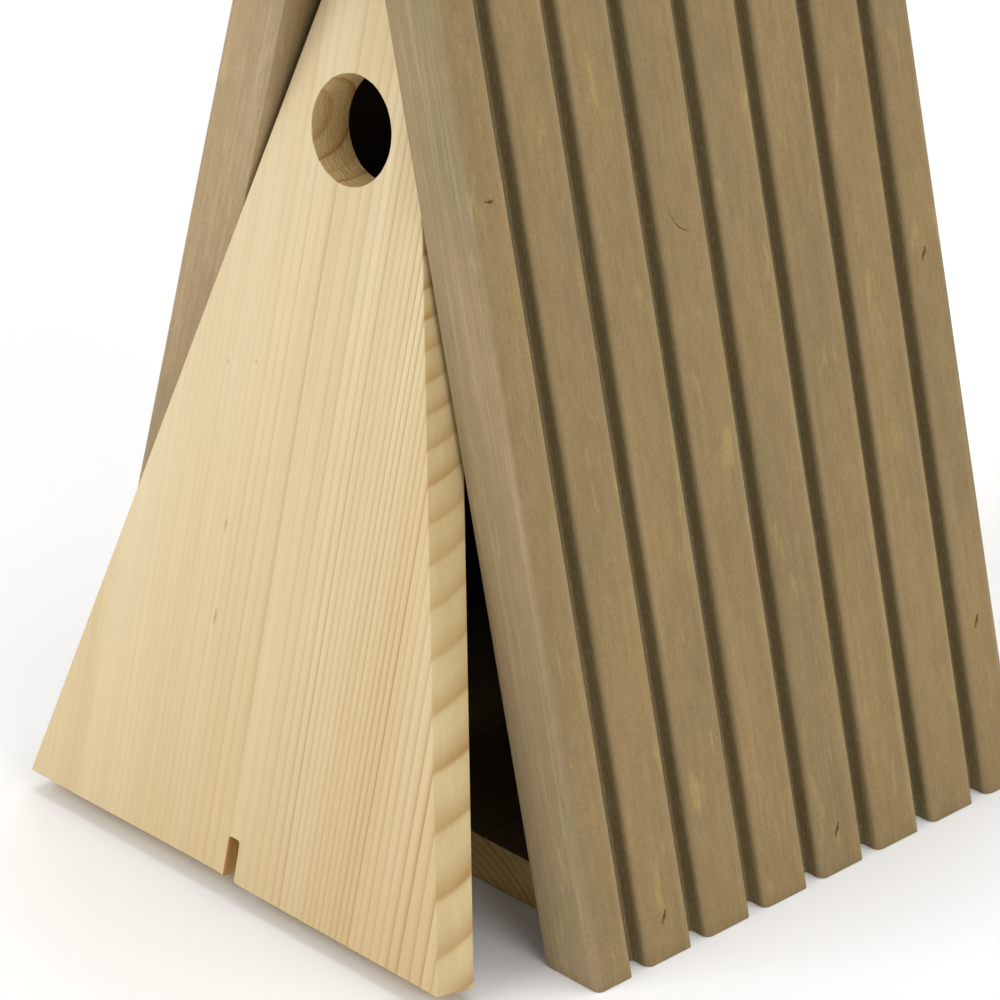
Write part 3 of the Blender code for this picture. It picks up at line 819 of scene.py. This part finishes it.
def slab(name, corners, low, high, ease, seed):
    """A board with eased edges: an outline in X and Z, and its thickness along Y."""
    outline = [(p.x, p.y) for p in rounded_outline(corners, ease * 1.2)]
    pairs = zip(outline[-1:] + outline[:-1], outline)
    if sum(x0 * z1 - x1 * z0 for (x0, z0), (x1, z1) in pairs) > 0:
        outline.reverse()
    edge = eased(ease, 0, 25, 50, 75, 90)
    places = [(low + depth, shrink) for depth, shrink in edge]
    places += [(low + ease + (high - low - 2 * ease) * i / 5, 0.0) for i in range(1, 5)]
    places += [(high - depth, shrink) for depth, shrink in reversed(edge)]
    loops = []
    for y, shrink in places:
        loop = []
        for x, z in inset(outline, shrink):
            wobble = 0.00006 * wave(seed, x * 90, z * 90, y * 200) - 0.00006
            pull = Vector((x, z)).normalized() * wobble
            loop.append(Vector((x + pull.x, y, z + pull.y)))
        loops.append(loop)
    return lofted(name, loops)


def hole_tool(radius, centre_z, low, high, flare, seed, sides=144):
    """A rough bored hole: smooth where it cuts along the fibres, torn at its top and bottom."""
    inner = 26
    places = [(low - 0.004, flare * 2.6)]
    places += [(low + depth, wide) for wide, depth in eased(flare, 90, 60, 30, 0)]
    places += [(low + flare + (high - low - 2 * flare) * i / inner, 0.0) for i in range(1, inner)]
    places += [(high - depth, wide) for wide, depth in eased(flare, 0, 30, 60, 90)]
    places.append((high + 0.004, flare * 2.6))
    rings = []
    for y, wide in places:
        ring = []
        for k in range(sides):
            angle = 2 * math.pi * k / sides
            c, s = math.cos(angle), math.sin(angle)
            tear = abs(s) ** 1.5
            r = radius + wide + 0.00005 * wave(seed, c * 4, s * 4, y * 900)
            r += tear * 0.00022 * max(0.0, wave(seed + 2, c * 26, s * 4, y * 520))
            r += tear * 0.00010 * wave(seed + 3, c * 60, s * 8, y * 1500)
            ring.append(Vector((r * c, y, centre_z + r * s)))
        rings.append(ring)
    return lofted("hole_tool", rings)


def slot_tool(half, foot, height, low, high, seed):
    """A cutter for the foot slot: level top, small round corners and slightly rough sides."""
    rings = []
    inner = 14
    for i in range(-1, inner + 2):
        y = low + (high - low) * i / inner
        ring = []
        outline = [(-half, foot - 0.003), (half, foot - 0.003)]
        outline += [(half, foot + (height - SLOT_CORNER) * k / 6) for k in range(6)]
        for side, start in ((1, 0.0), (-1, 90.0)):
            for k in range(6):
                angle = math.radians(start + 18.0 * k)
                outline.append((side * (half - SLOT_CORNER) + SLOT_CORNER * math.cos(angle),
                                foot + height - SLOT_CORNER + SLOT_CORNER * math.sin(angle)))
        outline += [(-half, foot + (height - SLOT_CORNER) * k / 6) for k in range(5, -1, -1)]
        for x, z in outline:
            rough = 0.00010 * wave(seed, x * 700, z * 300, y * 500)
            top = rough if z > foot + height - SLOT_CORNER else 0.0
            ring.append(Vector((x + rough * (1 if x > 0 else -1), y, z + top)))
        rings.append(ring)
    return lofted("slot_tool", rings)


def front_panel(materials):
    """In its own frame the pivot is the origin and the board is upright."""
    foot_z, tip_z = PANEL_FOOT_Z - PIVOT.z, PANEL_TIP_Z - PIVOT.z
    foot = (INNER_APEX_Z - PANEL_FOOT_Z) * LEAN_TAN - PANEL_SIDE_CLEARANCE
    tip = foot - (tip_z - foot_z) * math.tan(PANEL_TAPER)
    low, high = PANEL_FACE, PANEL_FACE + PANEL_THICK
    panel = slab("front_panel_finished", [(-foot, foot_z), (foot, foot_z), (tip, tip_z), (-tip, tip_z)],
                 low, high, 0.00045, 23)
    for v in panel.data.vertices:
        if v.co.z < foot_z + 0.001 and v.co.x < 0:
            v.co.z += 0.0007 * smooth(-0.075, -0.012, v.co.x)
    panel.matrix_world = Matrix.Translation(PIVOT) @ Euler((-REST_TILT, 0.0, 0.0)).to_matrix().to_4x4()
    bpy.context.view_layer.update()
    carve(panel, hole_tool(HOLE_RADIUS, HOLE_Z, low, high, 0.0003, 61))
    carve(panel, slot_tool(SLOT_HALF, foot_z, SLOT_HEIGHT, low, high, 71))
    angles = [math.tau * k / 24 for k in range(24)]
    for side in (1, -1):
        rings = [[Vector((side * x, PIVOT_BORE * math.cos(a), PIVOT_BORE * math.sin(a))) for a in angles]
                 for x in (0.0184, 0.024, 0.029, 0.036)]
        carve(panel, lofted("pivot_bore", rings))
    mesh = panel.data
    mesh.materials.clear()
    for material in materials:
        mesh.materials.append(material)
    for face in mesh.polygons:
        c = face.center
        flat = abs(face.normal.y) > 0.9
        from_hole = math.hypot(c.x, c.z - HOLE_Z)
        in_bore = math.hypot(c.y, c.z) < 0.0015
        in_slot = abs(c.x) < SLOT_HALF + 0.0004 and c.z < foot_z + SLOT_HEIGHT + 0.0004
        if (from_hole < HOLE_RADIUS + 0.0005 and not flat) or in_bore:
            face.material_index = 1
        elif in_slot and not flat and not (face.normal.z < -0.9 and c.z < foot_z + 0.001):
            face.material_index = 1
        elif c.z < foot_z + 0.0003 and abs(face.normal.z) > 0.7:
            face.material_index = 2
        elif abs(face.normal.x) > 0.8:
            face.material_index = 3
        else:
            face.material_index = 0
    mesh.polygons.foreach_set("use_smooth", [True] * len(mesh.polygons))
    sharpen(panel, 30)
    finish_piece(panel, "front_panel", "front_panel")


def plain_board(node, material, seed, inner_painted_shade, inwards):
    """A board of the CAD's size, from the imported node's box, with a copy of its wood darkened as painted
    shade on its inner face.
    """
    low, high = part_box(node)
    gap = GAP / LEAN_COS
    foot = (INNER_APEX_Z - low.z) * LEAN_TAN - gap
    tip = foot - (high.z - low.z) * LEAN_TAN
    board = slab(f"{node}_finished", [(-foot, low.z), (foot, low.z), (tip, high.z), (-tip, high.z)],
                 low.y, high.y, 0.0005, seed)
    board.data.materials.append(material)
    board.data.materials.append(inner_painted_shade)
    for face in board.data.polygons:
        face.material_index = 1 if face.normal.dot(inwards) > 0.7 else 0
    sharpen(board, 30)
    finish_piece(board, "root", node)


# ---------------------------------------------------------------- metal pieces

def nail(node, at, inwards, along, material, length, shank=0.00085):
    """A brad with an oblong pressed head, a round shank and a chisel point."""
    out = -inwards.normalized()
    along = (along - along.dot(out) * out).normalized()
    across = along.cross(out)
    sections = [(0.00000, 0.00055, 0.00125), (0.00005, 0.00075, 0.00145), (0.00045, 0.00078, 0.00148),
                (0.00080, 0.00070, 0.00110), (0.00120, shank, shank), (length - 0.003, shank, shank),
                (length - 0.0015, shank * 0.6, shank * 0.9), (length, shank * 0.12, shank * 0.5)]
    rings = []
    for depth, wide, long in sections:
        ring = []
        for k in range(24):
            angle = 2 * math.pi * k / 24
            c, s = math.cos(angle), math.sin(angle)
            ring.append(at + inwards * depth + across * wide * math.copysign(abs(c) ** 0.8, c)
                        + along * long * math.copysign(abs(s) ** 0.8, s))
        rings.append(ring)
    piece = lofted(f"{node}_finished", rings)
    sharpen(piece, 40)
    piece.data.materials.append(material)
    finish_piece(piece, "root", node)


def wire_hook(material):
    """The bent-wire turn hook: shank in the floor's front edge, bend, and a short arm with a filed tip."""
    low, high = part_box("turn_hook")
    radius = WIRE_RADIUS
    axis_z = high.z - radius
    arm_y = low.y + radius
    bend = WIRE_BEND
    path = [Vector((0.0, high.y - (high.y - (arm_y + bend)) * i / 10, axis_z)) for i in range(11)]
    for i in range(1, 11):
        t = math.radians(9.0 * i)
        path.append(Vector((0.0, arm_y + bend - bend * math.sin(t), axis_z - bend * (1 - math.cos(t)))))
    path += [Vector((0.0, arm_y, low.z + rise)) for rise in (0.0004, 0.00012, 0.0)]
    taper = {0: 0.7, len(path) - 2: 0.88, len(path) - 1: 0.62}
    rings = []
    for i, p in enumerate(path):
        before, after = path[max(0, i - 1)], path[min(len(path) - 1, i + 1)]
        tangent = (after - before).normalized()
        side = Vector((1, 0, 0))
        up = tangent.cross(side)
        r = radius * taper.get(i, 1.0)
        rings.append([p + side * r * math.cos(2 * math.pi * k / 20) + up * r * math.sin(2 * math.pi * k / 20)
                      for k in range(20)])
    hook = lofted("turn_hook_finished", rings)
    sharpen(hook, 45)
    hook.data.materials.append(material)
    finish_piece(hook, "turn_hook", "turn_hook")


def hanger(material):
    """The keyhole plate with pressed edges, and two cross-head screws."""
    low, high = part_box("hanger_plate")
    centre_z = (low.z + high.z) / 2
    half = (high.x - low.x) / 2
    straight = (high.z - low.z) / 2 - half

    def strip(grow):
        r = half - grow
        angles = [math.pi * k / 24 for k in range(25)]
        points = [(r * math.cos(a), straight + r * math.sin(a)) for a in angles]
        return points + [(r * math.cos(a + math.pi), -straight + r * math.sin(a + math.pi)) for a in angles]

    def keyhole(grow):
        big, small = KEYHOLE_RADIUS + grow, KEYHOLE_SLOT + grow
        start = math.asin(small / big)
        points = []
        for k in range(33):
            a = math.pi / 2 - start - (2 * math.pi - 2 * start) * k / 32
            points.append((big * math.cos(a), big * math.sin(a)))
        for k in range(13):
            a = math.pi - math.pi * k / 12
            points.append((small * math.cos(a), KEYHOLE_RISE + small * math.sin(a)))
        return points

    rings = []
    for y, shrink in ((low.y, 0.0), (high.y - 0.0003, 0.0), (high.y - 0.0001, 0.00012), (high.y, 0.0004)):
        rings.append([Vector((x, y, centre_z + z)) for x, z in strip(shrink)])
    plate = lofted("hanger_plate_finished", rings)
    rings = []
    for y, grow in ((low.y - 0.001, 0.0), (high.y - 0.0002, 0.0),
                    (high.y + 0.0001, 0.0003), (high.y + 0.001, 0.0006)):
        rings.append([Vector((x, y, centre_z + z)) for x, z in keyhole(grow)])
    subtract(plate, lofted("keyhole_tool", rings))
    for z in (SCREW_OFFSET, -SCREW_OFFSET):
        rings = []
        for y, r in ((low.y - 0.001, 0.0018), (low.y + 0.0003, 0.0018), (high.y + 0.0001, 0.0026)):
            rings.append([Vector((r * math.cos(a), y, centre_z + z + r * math.sin(a))) for a in ROUND])
        subtract(plate, lofted("screw_hole_tool", rings))
    plate.data.materials.clear()
    plate.data.materials.append(material)
    plate.data.polygons.foreach_set("use_smooth", [True] * len(plate.data.polygons))
    sharpen(plate, 25)
    finish_piece(plate, "root", "hanger_plate")

    for node in ("hanger_screw_top", "hanger_screw_bottom"):
        low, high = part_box(node)
        centre = Vector((0.0, 0.0, (low.z + high.z) / 2))
        head = (high.x - low.x) / 2
        profile = [(high.y, 0.0011), (high.y - 0.00008, 0.0018), (high.y - 0.0003, 0.0025),
                   (high.y - 0.0006, 0.0029), (high.y - 0.0008, head), (high.y - 0.0010, head),
                   (high.y - 0.00135, 0.0026)]
        y = high.y - 0.0016
        while y > low.y + 0.003:
            profile += [(y, 0.00140), (y - 0.00035, 0.00100)]
            y -= 0.0007
        profile += [(low.y + 0.0012, 0.0009), (low.y, 0.0001)]
        screw = lofted(f"{node}_finished", [[centre + Vector((r * math.cos(a), y, r * math.sin(a)))
                                             for a in ROUND] for y, r in profile])
        for turn in (0.35, 0.35 + math.pi / 2):
            c, s = math.cos(turn), math.sin(turn)
            rings = []
            for y, reach, width in ((high.y + 0.0005, 0.0019, 0.00036), (high.y - 0.0009, 0.0009, 0.00022)):
                corners = ((-reach, -width), (reach, -width), (reach, width), (-reach, width))
                rings.append([centre + Vector((a * c - b * s, y, a * s + b * c)) for a, b in corners])
            recess = bmesh.new()
            solid(recess, rings)
            subtract(screw, link("recess_tool", recess))
        screw.data.materials.clear()
        screw.data.materials.append(material)
        sharpen(screw, 35)
        finish_piece(screw, "root", node)


# ---------------------------------------------------------------- the object

STAIN_RIGHT = stained("stained wood, right board", (0.30, 0.16), 0.0031, seed=1.0)
STAIN_LEFT = stained("stained wood, left board", (0.26, -0.12), 0.0029, seed=2.0,
                     edge_gain=(1.36, 1.42, 1.75))
TORN = torn_wood("torn wood")
PITH = (-0.062, -0.011)              # the centre of the front panel's rings: x and y from its pivot
RING = 0.0031                        # their mean width
CROWD = (0.101, 0.076)               # where they lie closest, and how far apart such places are
# Resin flecks on the panel: x, z, half width and half height
FLECKS = ((-0.0223, -0.1516, 0.0006, 0.0030), (-0.0239, -0.1231, 0.0006, 0.0026),
          (-0.0336, -0.0762, 0.0005, 0.0010), (-0.0224, -0.0723, 0.0005, 0.0008))
PINE_FRONT = pine("pine, front", "XYZ", PITH, RING, strength=1.35, left_plain=(-0.02, 0.055, 0.15),
                  crowd=CROWD, warm_foot=0.45, uneven=0.55, tint=(0.96, 0.945, 0.90), flecks=FLECKS)
PINE_EDGE = pine("pine, sawn edge", "XYZ", PITH, RING, strength=0.95, crowd=CROWD, tint=(0.90, 0.85, 0.69),
                 late=0.34, uneven=0.35)
PINE_BORE = pine("pine, bored and sawn", "XYZ", PITH, RING, strength=1.2, crowd=CROWD,
                 tint=(0.90, 0.80, 0.58), torn=1.0)
PINE_FOOT = pine("pine, front end grain", "XYZ", PITH, RING, crowd=CROWD, tint=(0.86, 0.80, 0.68), torn=0.3)
PINE_BACK = pine("pine, back", "XYZ", (0.03, -0.05), 0.0027, strength=0.95, seed=3.0)
# The back panel's inner face, darkened nearly to black as painted shade of the hollow inside.
PINE_INNER_PAINTED_SHADE = pine("pine darkened as painted shade, back panel's inner face", "XYZ", (0.03, -0.05), 0.0027, strength=0.4,
                 tint=(0.09, 0.08, 0.06), seed=3.0)
PINE_FLOOR = pine("pine, floor", "XZY", (0.02, -0.045), 0.0029, strength=1.3,
                  tint=(0.60, 0.52, 0.33), torn=0.25, seed=4.0)
# The floor's upper face, darkened as painted shade of the hollow inside.
PAINTED_SHADE_FLOOR_TOP = pine("pine darkened as painted shade, floor's upper face", "XZY", (0.02, -0.045), 0.0029, strength=0.7,
                      tint=(0.19, 0.165, 0.11), seed=4.0)
STEEL = metal("bright steel", srgb(150, 146, 140), 0.36, 0.10, rust=0.3)
ZINC = metal("zinc plate", srgb(190, 192, 194), 0.30, 0.22)

roof_board(1, [STAIN_RIGHT, TORN], crack=True)
roof_board(-1, [STAIN_LEFT, TORN])
front_panel([PINE_FRONT, PINE_BORE, PINE_FOOT, PINE_EDGE])
plain_board("back_panel", PINE_BACK, 31, PINE_INNER_PAINTED_SHADE, Vector((0, -1, 0)))
plain_board("floor_board", PINE_FLOOR, 37, PAINTED_SHADE_FLOOR_TOP, Vector((0, 0, 1)))
for side in (1, -1):
    for node, at, inwards in nail_heads(side):
        low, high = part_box(node)
        length = (high.x - low.x) / abs(inwards.x) - 0.001
        nail(node, at, inwards, mark_direction(node, side), STEEL, length)
wire_hook(STEEL)
hanger(ZINC)


# ---------------------------------------------------------------- studio

def studio():
    bm = bmesh.new()
    bmesh.ops.create_grid(bm, x_segments=8, y_segments=8, size=6.0)
    ground = link("studio_floor", bm, smooth_shading=False)
    g = Graph("studio floor")
    place = g.node("ShaderNodeTexCoord").outputs["Object"]
    tone = g.spread(g.noise(place, (3.0, 3.0, 3.0), 2.0), 0.3, 0.7, 0.0, 1.0)
    colour = g.mix(tone, (0.89, 0.89, 0.89, 1.0), (0.91, 0.91, 0.91, 1.0))
    ground.data.materials.append(g.surface(colour, 0.9, None, specular=0.1))

    world = bpy.data.worlds.new("studio")
    world.use_nodes = True
    world.node_tree.nodes["Background"].inputs["Color"].default_value = (1.0, 1.0, 1.0, 1.0)
    world.node_tree.nodes["Background"].inputs["Strength"].default_value = 0.44
    bpy.context.scene.world = world

    aim = Vector((0.0, 0.0, 0.2))

    def softbox(name, at, power, size):
        data = bpy.data.lights.new(name, "AREA")
        data.energy, data.shape, data.size, data.size_y = power, "RECTANGLE", size, size
        lamp = bpy.data.objects.new(name, data)
        lamp.location = at
        lamp.rotation_mode = "QUATERNION"
        lamp.rotation_quaternion = (aim - Vector(at)).to_track_quat("-Z", "Y")
        bpy.context.scene.collection.objects.link(lamp)

    softbox("key", (-0.9, -2.2, 2.0), 32.5, 1.6)
    softbox("side", (2.4, -0.6, 1.7), 17.0, 1.6)
    softbox("top", (0.2, 0.6, 2.8), 38.0, 2.0)
    softbox("back", (-1.6, 2.0, 1.8), 13.0, 1.6)


def camera():
    data = bpy.data.cameras.new("camera")
    data.sensor_width = 36.0
    data.lens = 215.93
    data.clip_start, data.clip_end = 0.05, 60.0
    cam = bpy.data.objects.new("camera", data)
    yaw, pitch, roll = (math.radians(a) for a in (45.221, 27.181, 1.04))
    turn = Matrix.Rotation(yaw, 4, "Z") @ Matrix.Rotation(math.pi / 2 - pitch, 4, "X")
    turn = turn @ Matrix.Rotation(roll, 4, "Z")
    cam.matrix_world = Matrix.Translation((1.12925, -1.14438, 0.91098)) @ turn
    bpy.context.scene.collection.objects.link(cam)
    bpy.context.scene.camera = cam


studio()
camera()
bpy.context.scene.view_settings.view_transform = "Standard"

bpy.context.view_layer.update()
